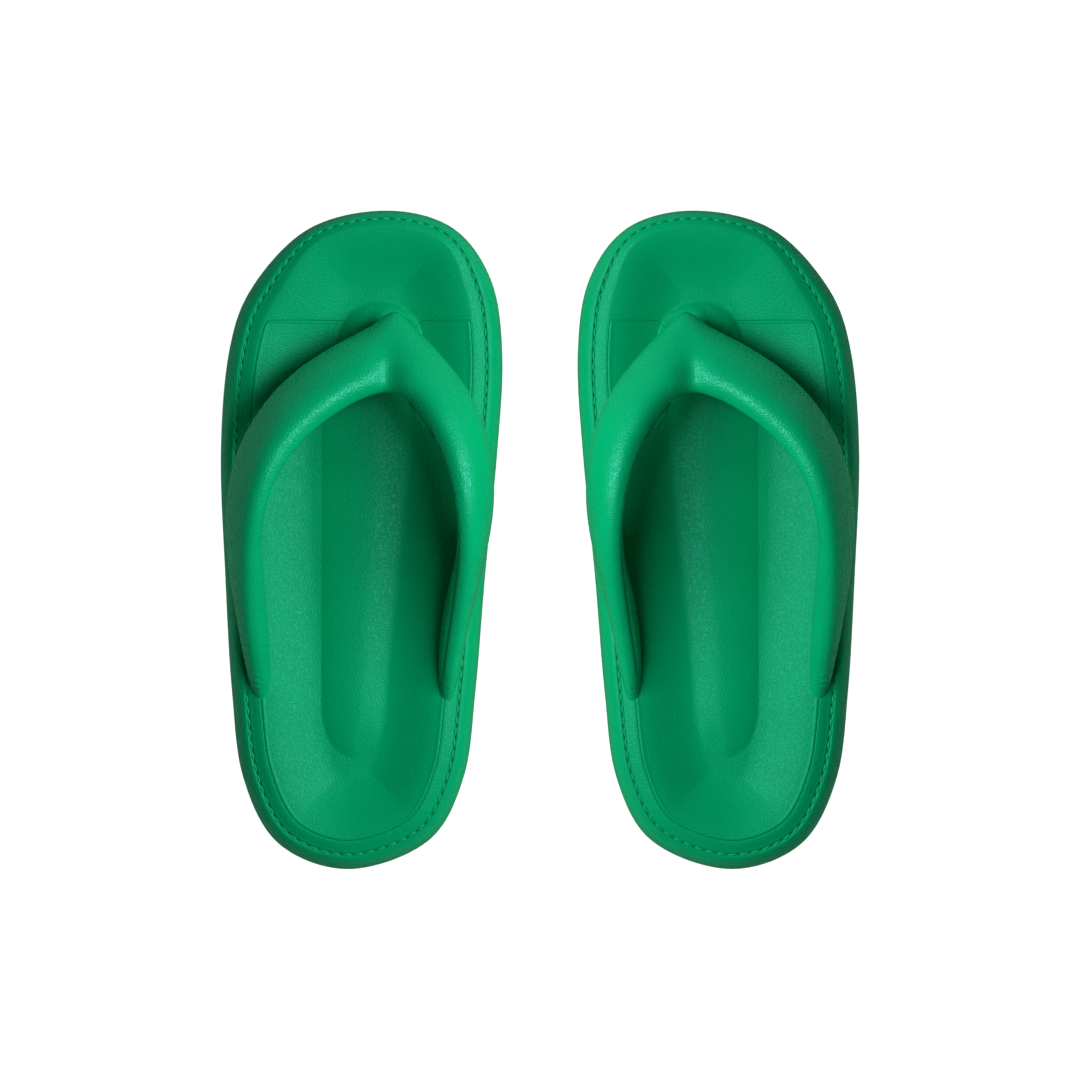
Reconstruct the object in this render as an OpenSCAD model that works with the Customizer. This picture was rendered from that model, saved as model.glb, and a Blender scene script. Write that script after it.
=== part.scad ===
// A pair of thick-soled thong flip flops with padded straps.
// Millimetres. +X runs across the pair towards the right shoe, +Y to the toes, +Z up.
// Each shoe is drawn about its own middle with its big-toe side on +X, then set beside the other.

/* [Shoe] */
// Length of one shoe from heel to toe
shoe_length = 270; // [240:1:300]
// Width of one shoe across the ball of the foot
shoe_width = 115; // [102:1:126]
// Clear gap between the two shoes
shoe_gap = 31; // [10:1:60]
// Height of the heel rim above the ground
heel_height = 42; // [38:0.5:50]
// Height of the rim at the ball of the foot
ball_height = 34; // [31:0.5:40]
// Height the toe lifts clear of the ground
toe_lift = 5; // [2:0.5:8]

/* [Sole layers] */
// Thickness of the rubber outsole
outsole_thickness = 6; // [4:0.5:8]
// Depth of the tread grooves
tread_depth = 2; // [1:0.25:3]
// Thickness of the footbed layer at its rim
footbed_thickness = 13; // [12:0.5:15]
// Thickness of the soft inlay sunk into the footbed
inlay_thickness = 3; // [2:0.25:3]
// Depth of the hollow that the foot lies in
dish_depth = 6; // [4:0.25:6.5]
// Height of the long ridge down the middle of the inlay
ridge_height = 1.8; // [0.5:0.1:2.5]

/* [Strap] */
// Scale on the padding's thickness
pad_scale = 1; // [0.8:0.05:1.1]
// Radius of the post between the toes
post_radius = 4.5; // [3.5:0.25:4.75]
// Radius of the disc that holds the post under the footbed
flange_radius = 10; // [8:0.5:12]
// Thickness of each side anchor
anchor_thickness = 4; // [3:0.25:4.25]

/* [Stitching] */
// Distance from the silhouette to the stitch line
stitch_inset = 6.5; // [6.2:0.1:6.8]
// Distance from one stitch to the next
stitch_pitch = 4.7; // [3.5:0.1:6]
// Thread radius
thread_radius = 0.5; // [0.35:0.05:0.6]

/* [Hidden] */
ring_points = 90;
cross_scale = shoe_width / 115;
along_scale = shoe_length / 270;
glue_gap = 0.12;
fit_gap = 0.1;
shoe_offset = (shoe_width + shoe_gap) / 2 + 0.4;
groove_depth = 1.2;
crest_inset = 11.4;
crest_height = 0.6;
inlay_inset = 12.2;
inlay_front = 90;
inlay_front_cap = inlay_front * along_scale;
post_pos = [14 * cross_scale, 86.5 * along_scale];

// Closed outline of one sole, clockwise from the toe tip.
sole_outline = [
    [10, 135.2], [37.5, 128.2], [53.3, 106.8], [57.9, 76], [55.8, 36], [50.9, -14],
    [46.9, -62], [42, -97.5], [27.5, -123.5], [-4.5, -135], [-33.5, -124.8], [-48.2, -98],
    [-53.1, -62], [-56, -14], [-57.9, 36], [-54.4, 78], [-44.5, 104.5], [-21.5, 127.8]
];

// Wall of the midsole: share of its height, inset from the silhouette.
midsole_wall = [[0, 3.2], [0.15, 1.6], [0.35, 0.5], [0.6, 0], [0.85, 0], [1, 0.3]];

// Edge and rim of the footbed: inset from the silhouette, height above the rim line.
footbed_rim = [
    [0.9, -7], [2.2, -3.6], [3.8, -1.5], [5.2, -0.7], [5.7, -1.7], [7.2, -1.7], [7.7, -0.5],
    [9.4, 0.2], [crest_inset, crest_height]
];

// Strap stations from the yoke back to the sole, on each side of the foot.
// Upper edge x, y, height above the rim line; lower edge the same; padding outwards, inwards.
yoke_station = [11, 60, 27, 14.5, 92.5, 9.5, 7.5, 4.5];
lateral_stations = [
    [1, 57.5, 31, 3.5, 85.5, 11, 8, 4.5],
    [-9, 52, 35, -10.5, 77.5, 13, 8.2, 4.5],
    [-19, 44.5, 38.5, -23.5, 68.5, 15, 8.2, 4.5],
    [-28, 35, 41, -35, 57, 16.5, 8, 4.5],
    [-35.5, 22.5, 41.5, -44, 43, 17, 7.4, 4.7],
    [-40.5, 7, 38, -49.5, 28, 14.5, 6.8, 5],
    [-43, -10, 30.5, -51.5, 14, 9.5, 6.4, 5.2],
    [-44, -28, 20, -51, 3, 4.5, 6, 5.6],
    [-43.5, -46, 9, -49.5, -4.5, 1, 5.6, 6.2],
    [-42.2, -64, -2.5, -48.2, -9, -2.5, 5.2, 6.4]
];
medial_stations = [
    [19, 57.5, 31, 24, 83.5, 11.5, 8, 4.5],
    [26, 50.5, 35, 34, 72, 14, 8, 4.5],
    [32, 41, 38.5, 42.5, 60, 16, 7.8, 4.5],
    [37, 29, 41, 48.5, 46.5, 17, 7.4, 4.5],
    [40.5, 15, 40.5, 51.5, 33, 16, 6.8, 4.7],
    [42, 0, 36, 52, 20, 12.5, 6.2, 4.8],
    [41.8, -14, 29, 50.5, 9, 8.5, 5.8, 4.8],
    [40, -30, 19.5, 48, 1, 4.5, 5.2, 4.6],
    [36.4, -47, 9, 45.3, -4, 1, 4.2, 4.4],
    [33.6, -65.5, -2.5, 43.4, -8, -2.5, 3.5, 4.4]
];
strap_stations = concat(
    [for (i = [len(lateral_stations) - 1:-1:0]) lateral_stations[i]],
    [yoke_station],
    medial_stations
);
strap_steps = 60;
strap_points = 20;

// ---- curves ----

function ease(t) = let (c = max(0, min(1, t))) c * c * (3 - 2 * c);

function spline(a, b, c, d, t) =
    0.5 * (2 * b + (c - a) * t + (2 * a - 5 * b + 4 * c - d) * t * t + (3 * b - a - 3 * c + d) * t * t * t);

function closed_point(pts, u) =
    let (n = len(pts), i = floor(u), t = u - i)
    spline(pts[(i - 1 + n) % n], pts[(i + n) % n], pts[(i + 1) % n], pts[(i + 2) % n], t);

function open_point(pts, u) =
    let (
        n = len(pts),
        i = max(0, min(n - 2, floor(u))),
        t = u - i,
        before = i > 0 ? pts[i - 1] : 2 * pts[0] - pts[1],
        after = i < n - 2 ? pts[i + 2] : 2 * pts[n - 1] - pts[n - 2]
    )
    spline(before, pts[i], pts[i + 1], after, t);

function outline_point(u) =
    let (p = closed_point(sole_outline, u))
    [p.x * cross_scale, p.y * along_scale];

function outline_normal(u) =
    let (t = outline_point(u + 0.02) - outline_point(u - 0.02), l = norm(t))
    [-t.y / l, t.x / l];

// ---- heights ----

function rim_height(y) =
    y < 60 * along_scale
        ? ball_height + (heel_height - ball_height) * ease((60 - y / along_scale) / 190)
        : ball_height + toe_lift * pow((y / along_scale - 60) / 75, 2);

lift_knots = [for (i = [0:5]) [(88 + i * 9.6) * along_scale, toe_lift * pow(i / 5, 2)]];
function bottom_height(y) = lookup(y, lift_knots);

// The rim gets narrower towards the tip of the toe.
function rim_share(y) = 1 - 0.42 * ease((y / along_scale - 105) / 29);

function hollow_at(reach, y) =
    dish_depth * (1 + 0.12 * ease((-y / along_scale - 40) / 60)) * ease(reach / 27);

// The long ridge narrows towards the heel, where it ends round.
function ridge_at(p) =
    let (
        y = p.y / along_scale,
        left = -16,
        right = 21 - 10 * ease((45 - y) / 125),
        across = (p.x / cross_scale - (left + right) / 2) / ((right - left) / 2),
        along = max(0, (-68 - y) / 21, (y - 62) / 24),
        fall = 1 - across * across - along * along
    )
    fall > 0 ? ridge_height * pow(fall, 0.8) : 0;

// The mound that the toe post stands in.
mound_middle = [8 * cross_scale, 80 * along_scale];
mound_radius = 17.5;
mound_height = 3.6;

function mound_at(p) =
    let (fall = 1 - pow(norm(p - mound_middle) / mound_radius, 2))
    fall > 0 ? mound_height * pow(fall, 0.8) : 0;

// ---- rings round the sole ----

function ring_u(i) = i * len(sole_outline) / ring_points;

function inset_point(u, inset) =
    let (p = outline_point(u))
    p - outline_normal(u) * inset * rim_share(p.y);

// Front edge of the inlay: straight, with a notch behind the toe post.
function front_edge(x) =
    inlay_front_cap - 17 * exp(-pow(abs(x - 9 * cross_scale) / (15.5 * cross_scale), 4));

function inlay_point(u) =
    let (p = inset_point(u, inlay_inset), cap = front_edge(p.x))
    [p.x, p.y < cap - 12 ? p.y : cap - max(0, ln(1 + exp((cap - p.y) / 1.5)) * 1.5)];

function spine_point(p) =
    let (y = max(-88 * along_scale, min(62 * along_scale, p.y)))
    [-1.6 + 0.028 * y, y];

function toward_spine(p, share) = spine_point(p) + (p - spine_point(p)) * share;

crest_line = [for (i = [0:ring_points - 1]) inset_point(ring_u(i), crest_inset)];

function surface_height(p) =
    let (reach = min([for (c = crest_line) norm(p - c)]))
    rim_height(p.y) + crest_height - hollow_at(reach, p.y);

function raised_at(p) = max(ridge_at(p), mound_at(p));

function with_z(p, z) = [p.x, p.y, z];

function rim_ring(inset, height) = [
    for (i = [0:ring_points - 1])
        let (p = inset_point(ring_u(i), inset))
        with_z(p, rim_height(p.y) + height)
];

// The innermost ring isn't straight in front, so that its cap has no flat slivers.
function inlay_ring(share, drop, raise) = [
    for (i = [0:ring_points - 1])
        let (
            u = ring_u(i),
            edge = inlay_point(u),
            round_edge = inset_point(u, inlay_inset),
            p = toward_spine(share > 0.1 ? edge : (edge + round_edge) / 2, share)
        )
        with_z(p, surface_height(p) - drop + raise * raised_at(p))
];

function toe_ring(share) = [
    for (i = [0:ring_points - 1])
        let (
            u = ring_u(i),
            a = inset_point(u, crest_inset),
            b = inlay_point(u),
            p = a + (b - a) * share
        )
        with_z(p, surface_height(p) + raised_at(p))
];

function layer_ring(inset, share, lift) = [
    for (i = [0:ring_points - 1])
        let (p = toward_spine(inset_point(ring_u(i), inset), share))
        with_z(p, rim_height(p.y) - footbed_thickness + lift)
];

function midsole_ring(share, inset) = [
    for (i = [0:ring_points - 1])
        let (
            p = inset_point(ring_u(i), inset),
            low = bottom_height(p.y) + outsole_thickness + glue_gap,
            high = rim_height(p.y) - footbed_thickness - glue_gap
        )
        with_z(p, low + (high - low) * share)
];

function midsole_floor(share) = [
    for (i = [0:ring_points - 1])
        let (p = toward_spine(inset_point(ring_u(i), midsole_wall[0][1]), share))
        with_z(p, bottom_height(p.y) + outsole_thickness + glue_gap)
];

// ---- solids from stacked rings ----

// Rings run from the middle of the underside, out round the edge, to the middle of the top.
module ring_solid(rings) {
    n = len(rings[0]);
    last = len(rings) - 1;
    half = n / 2;
    sides = [
        for (j = [0:last - 1], i = [0:n - 1])
            let (a = j * n + i, b = j * n + (i + 1) % n)
            each [[a, b, b + n], [a, b + n, a + n]]
    ];
    low_cap = [
        for (i = [0:half - 1])
            let (a = i, b = i + 1, c = (n - i - 1) % n, d = (n - i) % n)
            each [if (b != c) [a, c, b], if (a != d) [a, d, c]]
    ];
    top_cap = [
        for (i = [0:half - 1])
            let (o = last * n, a = i, b = i + 1, c = (n - i - 1) % n, d = (n - i) % n)
            each [if (b != c) [o + a, o + b, o + c], if (a != d) [o + a, o + c, o + d]]
    ];
    polyhedron(
        points = [for (r = rings, p = r) p],
        faces = concat(sides, low_cap, top_cap),
        convexity = 8
    );
}

// ---- sole layers ----

module sole_plan(inset) {
    polygon([for (i = [0:ring_points - 1]) inset_point(ring_u(i), inset)]);
}

module outsole_blank() {
    profile = concat(
        [[-150 * along_scale, 0]],
        [for (k = lift_knots) [k.x, k.y]],
        [[150 * along_scale, toe_lift * 1.6], [150 * along_scale, toe_lift * 1.6 + outsole_thickness]],
        [for (i = [len(lift_knots) - 1:-1:0]) lift_knots[i] + [0, outsole_thickness]],
        [[-150 * along_scale, outsole_thickness]]
    );
    intersection() {
        translate([0, 0, -1])
            linear_extrude(40)
                sole_plan(midsole_wall[0][1] + 0.3);
        translate([100, 0, 0])
            rotate([90, 0, -90])
                linear_extrude(200)
                    scale([-1, 1])
                        polygon(profile);
    }
}

groove_width = 3;
groove_step = 17 * along_scale;
groove_angle = 16;

module tread_grooves() {
    for (k = [-7:6]) {
        for (side = [-1, 1]) {
            translate([0, k * groove_step + 6, -1])
                rotate([0, 0, side * groove_angle])
                    translate([side > 0 ? -1 : -34, -groove_width / 2, 0])
                        cube([35, groove_width, tread_depth + 1]);
        }
    }
}

module outsole() {
    difference() {
        outsole_blank();
        tread_grooves();
    }
}

module midsole() {
    difference() {
        ring_solid(concat(
            [midsole_floor(0.04), midsole_floor(0.5)],
            [for (w = midsole_wall) midsole_ring(w[0], w[1])],
            [layer_ring(0.3, 0.5, -glue_gap), layer_ring(0.3, 0.04, -glue_gap)]
        ));
        post_hole();
        flange_pocket();
        anchor_pocket(lateral_anchor);
        anchor_pocket(medial_anchor);
    }
}

module footbed() {
    difference() {
        ring_solid(concat(
            [layer_ring(0.3, 0.04, 0), layer_ring(0.3, 0.5, 0), layer_ring(0.3, 1, 0)],
            [for (r = footbed_rim) rim_ring(r[0], r[1])],
            [for (s = [0.25, 0.45, 0.6, 0.75, 0.87, 1]) toe_ring(s)],
            [for (s = [1, 0.8, 0.6, 0.4, 0.2, 0.04]) inlay_ring(s, inlay_thickness + glue_gap, 0)]
        ));
        strap_socket(lateral_anchor, lateral_socket);
        strap_socket(medial_anchor, medial_socket);
        post_hole();
        anchor_blade(lateral_anchor, fit_gap);
        anchor_blade(medial_anchor, fit_gap);
    }
}

inlay_shares = [0.04, 0.15, 0.28, 0.4, 0.52, 0.66, 0.8, 0.92];

module footbed_inlay() {
    inner = 0.993;
    n = len(inlay_shares) - 1;
    difference() {
        ring_solid(concat(
            [for (s = [0.04, 0.2, 0.4, 0.6, 0.8, 1]) inlay_ring(s * inner, inlay_thickness, 0)],
            [inlay_ring(inner, 0.05, 1)],
            [for (i = [n:-1:0]) inlay_ring(inlay_shares[i] * inner, 0, 1)]
        ));
        strap_socket(lateral_anchor, lateral_socket);
        strap_socket(medial_anchor, medial_socket);
    }
}

// ---- strap ----

function station_edge(g, k) =
    [g[k] * cross_scale, g[k + 1] * along_scale, g[k + 2] + rim_height(g[k + 1] * along_scale)];

function station_middle(u) =
    let (g = open_point(strap_stations, u))
    (station_edge(g, 0) + station_edge(g, 3)) / 2;

function signed_power(v, e) = sign(v) * pow(abs(v), e);

function strap_ring(u) =
    let (
        g = open_point(strap_stations, u),
        upper = station_edge(g, 0),
        lower = station_edge(g, 3),
        middle = (upper + lower) / 2,
        half = (upper - lower) / 2,
        travel = station_middle(u + 0.05) - station_middle(u - 0.05),
        across = cross(half, travel),
        out = across / norm(across),
        e = 2 / 2.3
    )
    [
        for (i = [0:strap_points - 1])
            let (
                a = i * 360 / strap_points,
                c = signed_power(cos(a), e),
                s = signed_power(sin(a), e),
                pad = (s > 0 ? g[6] : g[7]) * pad_scale,
                lean = s > 0 ? 0.15 * (1 - c * c) : 0
            )
            middle + half * (c + lean) + out * s * pad
    ];

module strap_blank() {
    top = len(strap_stations) - 1;
    ring_solid([for (k = [0:strap_steps]) strap_ring(k / strap_steps * top)]);
}

post_top = rim_height(post_pos.y) + 14;

module strap() {
    difference() {
        strap_blank();
        post_hole();
        anchor_blade(lateral_anchor, fit_gap);
        anchor_blade(medial_anchor, fit_gap);
    }
}

// ---- toe post ----

flange_thickness = 3;
washer_thickness = 2;
flange_bottom = outsole_thickness + 0.4;
washer_bottom = flange_bottom + flange_thickness + fit_gap;

module post_hole() {
    translate([post_pos.x, post_pos.y, 0])
        cylinder(r = post_radius + fit_gap, h = post_top + fit_gap, $fn = 48);
}

module flange_pocket() {
    translate([post_pos.x, post_pos.y, 0])
        cylinder(
            r = flange_radius + 1 + fit_gap,
            h = washer_bottom + washer_thickness + fit_gap,
            $fn = 48
        );
}

module toe_post() {
    translate([post_pos.x, post_pos.y, flange_bottom]) {
        cylinder(r = flange_radius, h = flange_thickness, $fn = 48);
        cylinder(r = post_radius, h = post_top - flange_bottom, $fn = 48);
    }
}

module post_washer() {
    translate([post_pos.x, post_pos.y, washer_bottom])
        difference() {
            cylinder(r = flange_radius + 1, h = washer_thickness, $fn = 48);
            translate([0, 0, -1])
                cylinder(r = post_radius + fit_gap, h = washer_thickness + 2, $fn = 48);
        }
}

// ---- side anchors: middle x, y, turn, blade length ----

lateral_anchor = [-44.8, -34, 6.2, 30];
medial_anchor = [39.2, -34, -9.8, 30];
anchor_foot_height = 4;
anchor_foot_width = 10;
anchor_rise = 4;
anchor_drop = footbed_thickness + anchor_foot_height + 0.4;
anchor_hole_radius = 2.5;

// An anchor is drawn from the rim line, which slopes from heel to toe.
module at_anchor(a) {
    y = a[1] * along_scale;
    fall = rim_height(y - 15) - rim_height(y + 15);
    translate([a[0] * cross_scale, y, rim_height(y)])
        rotate([0, 0, a[2]])
            rotate([-atan(fall / 30), 0, 0])
                children();
}

module anchor_blade(a, grow) {
    at_anchor(a)
        translate([-anchor_thickness / 2 - grow, -a[3] / 2 - grow, -anchor_drop])
            cube([
                anchor_thickness + 2 * grow,
                a[3] + 2 * grow,
                anchor_drop + anchor_rise + grow
            ]);
}

module anchor_foot(a, grow) {
    at_anchor(a)
        translate([-anchor_foot_width / 2 - grow, -a[3] / 2 - grow, -anchor_drop - grow])
            cube([
                anchor_foot_width + 2 * grow,
                a[3] + 2 * grow,
                anchor_foot_height + 2 * grow
            ]);
}

module anchor(a) {
    difference() {
        union() {
            anchor_blade(a, 0);
            anchor_foot(a, 0);
        }
        for (k = [-1, 1])
            at_anchor(a)
                translate([-10, k * a[3] / 4, -footbed_thickness / 2])
                    rotate([0, 90, 0])
                        cylinder(r = anchor_hole_radius, h = 20, $fn = 32);
    }
}

// Half length and half width of the hollow in the rim that takes the end of an arm.
lateral_socket = [34, 6.7];
medial_socket = [35, 4.8];
socket_depth = 2.7;

module strap_socket(a, size) {
    e = 2 / 2.3;
    at_anchor(a)
        translate([0, 0, -socket_depth])
            linear_extrude(12)
                polygon([
                    for (k = [0:39])
                        let (t = k * 9)
                        [
                            size[1] * cross_scale * pad_scale * signed_power(cos(t), e),
                            size[0] * along_scale * signed_power(sin(t), e)
                        ]
                ]);
}

module anchor_pocket(a) {
    anchor_blade(a, fit_gap);
    anchor_foot(a, fit_gap);
}

// ---- stitching ----

function stitch_point(u) =
    let (p = inset_point(u, stitch_inset))
    with_z(p, rim_height(p.y) - groove_depth);

// The thread stops where the strap is let into the rim.
function under_strap(p) =
    let (y = p.y / along_scale)
    p.x < 0 ? (y > -56 && y < 0) : (y > -40 && y < 1);

stitch_samples = 360;
stitch_line = [for (i = [0:stitch_samples]) stitch_point(i * len(sole_outline) / stitch_samples)];
stitch_lengths = [
    for (i = 0, total = 0; i <= stitch_samples;
        total = total + norm(stitch_line[min(i + 1, stitch_samples)] - stitch_line[i]), i = i + 1)
        [total, i * len(sole_outline) / stitch_samples]
];
stitch_run = stitch_lengths[stitch_samples][0];
stitch_count = round(stitch_run / stitch_pitch);
stitch_length = stitch_pitch * 0.66;

module stitching() {
    for (k = [0:stitch_count - 1]) {
        here = k * stitch_run / stitch_count;
        p = stitch_point(lookup(here, stitch_lengths));
        q = stitch_point(lookup(min(stitch_run, here + 0.5), stitch_lengths));
        d = q - p;
        if (!under_strap(p)) {
            translate(p)
                rotate([0, 90 - asin(d.z / norm(d)), atan2(d.y, d.x)])
                    translate([0, 0, -stitch_length / 2])
                        cylinder(r = thread_radius, h = stitch_length, $fn = 16);
        }
    }
}

// ---- the pair ----

module left_side() {
    translate([-shoe_offset, 0, 0])
        children();
}

module right_side() {
    mirror([1, 0, 0])
        translate([-shoe_offset, 0, 0])
            children();
}

module left_outsole() { color([0.0, 0.33, 0.13]) left_side() outsole(); }
module left_midsole() { color([0.0, 0.42, 0.18]) left_side() midsole(); }
module left_footbed() { color([0.0, 0.45, 0.2]) left_side() footbed(); }
module left_inlay() { color([0.0, 0.48, 0.22]) left_side() footbed_inlay(); }
module left_strap() { color([0.0, 0.5, 0.23]) left_side() strap(); }
module left_toe_post() { color([0.0, 0.4, 0.2]) left_side() toe_post(); }
module left_post_washer() { color([0.8, 0.8, 0.8]) left_side() post_washer(); }
module left_lateral_anchor() { color([0.8, 0.8, 0.8]) left_side() anchor(lateral_anchor); }
module left_medial_anchor() { color([0.8, 0.8, 0.8]) left_side() anchor(medial_anchor); }
module left_stitching() { color([0.05, 0.5, 0.28]) left_side() stitching(); }

module right_outsole() { color([0.0, 0.33, 0.13]) right_side() outsole(); }
module right_midsole() { color([0.0, 0.42, 0.18]) right_side() midsole(); }
module right_footbed() { color([0.0, 0.45, 0.2]) right_side() footbed(); }
module right_inlay() { color([0.0, 0.48, 0.22]) right_side() footbed_inlay(); }
module right_strap() { color([0.0, 0.5, 0.23]) right_side() strap(); }
module right_toe_post() { color([0.0, 0.4, 0.2]) right_side() toe_post(); }
module right_post_washer() { color([0.8, 0.8, 0.8]) right_side() post_washer(); }
module right_lateral_anchor() { color([0.8, 0.8, 0.8]) right_side() anchor(lateral_anchor); }
module right_medial_anchor() { color([0.8, 0.8, 0.8]) right_side() anchor(medial_anchor); }
module right_stitching() { color([0.05, 0.5, 0.28]) right_side() stitching(); }

left_outsole();
left_midsole();
left_footbed();
left_inlay();
left_strap();
left_toe_post();
left_post_washer();
left_lateral_anchor();
left_medial_anchor();
left_stitching();
right_outsole();
right_midsole();
right_footbed();
right_inlay();
right_strap();
right_toe_post();
right_post_washer();
right_lateral_anchor();
right_medial_anchor();
right_stitching();
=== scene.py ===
"""A pair of thick-soled thong flip flops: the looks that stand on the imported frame."""

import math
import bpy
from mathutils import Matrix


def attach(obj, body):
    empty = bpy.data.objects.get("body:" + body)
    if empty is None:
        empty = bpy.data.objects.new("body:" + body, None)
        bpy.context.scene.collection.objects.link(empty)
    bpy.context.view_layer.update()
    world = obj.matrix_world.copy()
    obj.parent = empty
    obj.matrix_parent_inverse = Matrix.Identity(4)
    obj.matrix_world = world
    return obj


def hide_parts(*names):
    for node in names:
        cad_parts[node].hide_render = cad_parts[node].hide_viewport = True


bl_info = {
    "name": "Thong flip flops",
    "version": (1, 0, 0),
    "blender": (4, 5, 0),
    "location": "View3D > Sidebar > Flip flops",
    "description": "Builds a pair of padded thong flip flops, piece by piece",
    "category": "Object",
}

import bpy
import numpy as np
from mathutils import Vector

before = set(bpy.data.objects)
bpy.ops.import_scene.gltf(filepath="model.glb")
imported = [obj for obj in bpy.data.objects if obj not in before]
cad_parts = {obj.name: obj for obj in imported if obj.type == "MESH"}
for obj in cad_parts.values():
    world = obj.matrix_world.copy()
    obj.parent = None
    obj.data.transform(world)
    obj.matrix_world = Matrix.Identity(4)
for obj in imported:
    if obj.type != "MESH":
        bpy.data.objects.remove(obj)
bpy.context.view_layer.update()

MM = 0.001
SIDES = ("left", "right")
BODIES = {"left": "left_shoe", "right": "right_shoe"}

# ---- the shape that every layer shares, in millimetres about the middle of one shoe ----

# Sole outline, clockwise from the toe tip, with the big-toe side on +X.
OUTLINE = np.array([
    (10, 135.2), (37.5, 128.2), (53.3, 106.8), (57.9, 76), (55.8, 36), (50.9, -14),
    (46.9, -62), (42, -97.5), (27.5, -123.5), (-4.5, -135), (-33.5, -124.8), (-48.2, -98),
    (-53.1, -62), (-56, -14), (-57.9, 36), (-54.4, 78), (-44.5, 104.5), (-21.5, 127.8),
])
SHOE_OFFSET = 73.4
POST = np.array((14.0, 86.5))
MOUND = np.array((8.0, 80.0))
MOUND_RADIUS = 17.5
CREST_INSET = 11.4
CREST_HEIGHT = 0.6
INLAY_INSET = 12.2
SEAM_ROUND = 0.22
SEAM_GAP = 0.04
GLUE_LINE = 0.12
THREAD_DEPTH = 1.1
# Points round each ring of the sole, and the share of a ring's width at which its cap starts.
RIM_POINTS = 720
CAP_SHARE = 0.04
# The inset stored for surfaces that carry no sewing.
NOT_SEWN = 9

# Strap stations from one landing over the yoke to the other:
# upper edge x, y, height over the rim; lower edge the same; padding outwards and inwards.
LATERAL_ARM = [
    (-40, -69.5, -3, -48.2, -9, -2.5, 4.4, 5.8),
    (-41.5, -53.5, 8.5, -49.5, -4.5, 1, 5.3, 7.2),
    (-43.1, -31, 19.5, -51, 3, 4.5, 6, 7.6),
    (-42.9, -10, 30.5, -51.5, 14, 9.5, 6.4, 6.4),
    (-40.5, 7, 38, -49.5, 28, 14.5, 6.8, 5),
    (-35.5, 22.5, 41.5, -44, 43, 17, 7.4, 4.7),
    (-28, 35, 41, -35, 57, 16.5, 8, 4.5),
    (-19, 44.5, 38.5, -23.5, 68.5, 15, 8.2, 4.5),
    (-9, 52, 35, -10.5, 77.5, 13, 8.2, 4.5),
    (1, 57.5, 31, 3.5, 85.5, 11, 8, 4.5),
]
YOKE = [(11, 60, 27, 14.5, 92.5, 9.5, 7.5, 4.5)]
MEDIAL_ARM = [
    (19, 57.5, 31, 24, 83.5, 11.5, 8, 4.5),
    (26, 50.5, 35, 34, 72, 14, 8, 4.5),
    (32, 41, 38.5, 42.5, 60, 16, 7.8, 4.5),
    (37, 29, 41, 48.5, 46.5, 17, 7.4, 4.5),
    (40.5, 15, 40.5, 51.5, 33, 16, 6.8, 4.7),
    (42, 0, 36, 52, 20, 12.5, 6.2, 4.8),
    (41.7, -14, 29, 50.5, 9, 8.5, 5.8, 5.6),
    (39.8, -32, 19.5, 48, 1, 4.5, 5.2, 6.6),
    (36.8, -54, 8.5, 45.3, -4, 1, 4.2, 7),
    (34.8, -70.5, -3, 43.4, -8, -2.5, 3.6, 6),
]
STATIONS = np.array(LATERAL_ARM + YOKE + MEDIAL_ARM, float)
YOKE_STATION = len(LATERAL_ARM)


def ease(t):
    t = np.clip(t, 0, 1)
    return t * t * (3 - 2 * t)


def hump(t):
    return np.exp(-t * t)


def spline(a, b, c, d, t):
    return 0.5 * (2 * b + (c - a) * t + (2 * a - 5 * b + 4 * c - d) * t**2 + (3 * b - a - 3 * c + d) * t**3)


def closed_point(points, u):
    n = len(points)
    i = np.floor(u).astype(int)
    t = (u - i)[..., None]
    return spline(points[(i - 1) % n], points[i % n], points[(i + 1) % n], points[(i + 2) % n], t)


def open_point(points, u):
    n = len(points)
    i = np.clip(np.floor(u).astype(int), 0, n - 2)
    t = (u - i)[..., None]
    padded = np.vstack([2 * points[0] - points[1], points, 2 * points[-1] - points[-2]])
    return spline(padded[i], padded[i + 1], padded[i + 2], padded[i + 3], t)


def sole():
    return bpy.context.scene.flip_flop_sole


def rim_height(y):
    s = sole()
    heel, ball, lift = s.heel_height / MM, s.ball_height / MM, s.toe_lift / MM
    back = ball + (heel - ball) * ease((60 - y) / 190)
    front = ball + lift * (np.maximum(y - 60, 0) / 75) ** 2
    return np.where(y < 60, back, front)


def bottom_height(y):
    knots = np.arange(6)
    return np.interp(y, 88 + knots * 9.6, sole().toe_lift / MM * (knots / 5) ** 2)


def outline_point(u):
    return closed_point(OUTLINE, u)


def outline_normal(u):
    t = outline_point(u + 0.02) - outline_point(u - 0.02)
    t /= np.linalg.norm(t, axis=-1, keepdims=True)
    return np.stack([-t[..., 1], t[..., 0]], -1)


def inset_point(u, inset):
    """A point that far inside the silhouette. The rim gets narrower towards the toe tip."""
    p = outline_point(u)
    share = 1 - 0.42 * ease((p[..., 1] - 105) / 29)
    return p - outline_normal(u) * (inset * share)[..., None]


def around(count):
    return np.arange(count) * len(OUTLINE) / count


def inlay_edge(u):
    """The inlay's edge: straight in front, with a notch behind the toe post."""
    p = inset_point(u, np.full(u.shape, INLAY_INSET))
    cap = 90 - 16 * np.exp(-((np.abs(p[:, 0] - 9) / 13) ** 7))
    soft = cap - 1.2 * np.log1p(np.exp((cap - p[:, 1]) / 1.2))
    return np.stack([p[:, 0], np.where(p[:, 1] < cap - 12, p[:, 1], soft)], -1)


def spine_point(p):
    y = np.clip(p[..., 1], -88, 62)
    return np.stack([-1.6 + 0.028 * y, y], -1)


def toward_spine(p, share):
    """A ring drawn in towards the sole's middle line, to that share of its own reach."""
    middle = spine_point(p)
    return middle + (p - middle) * share


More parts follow.
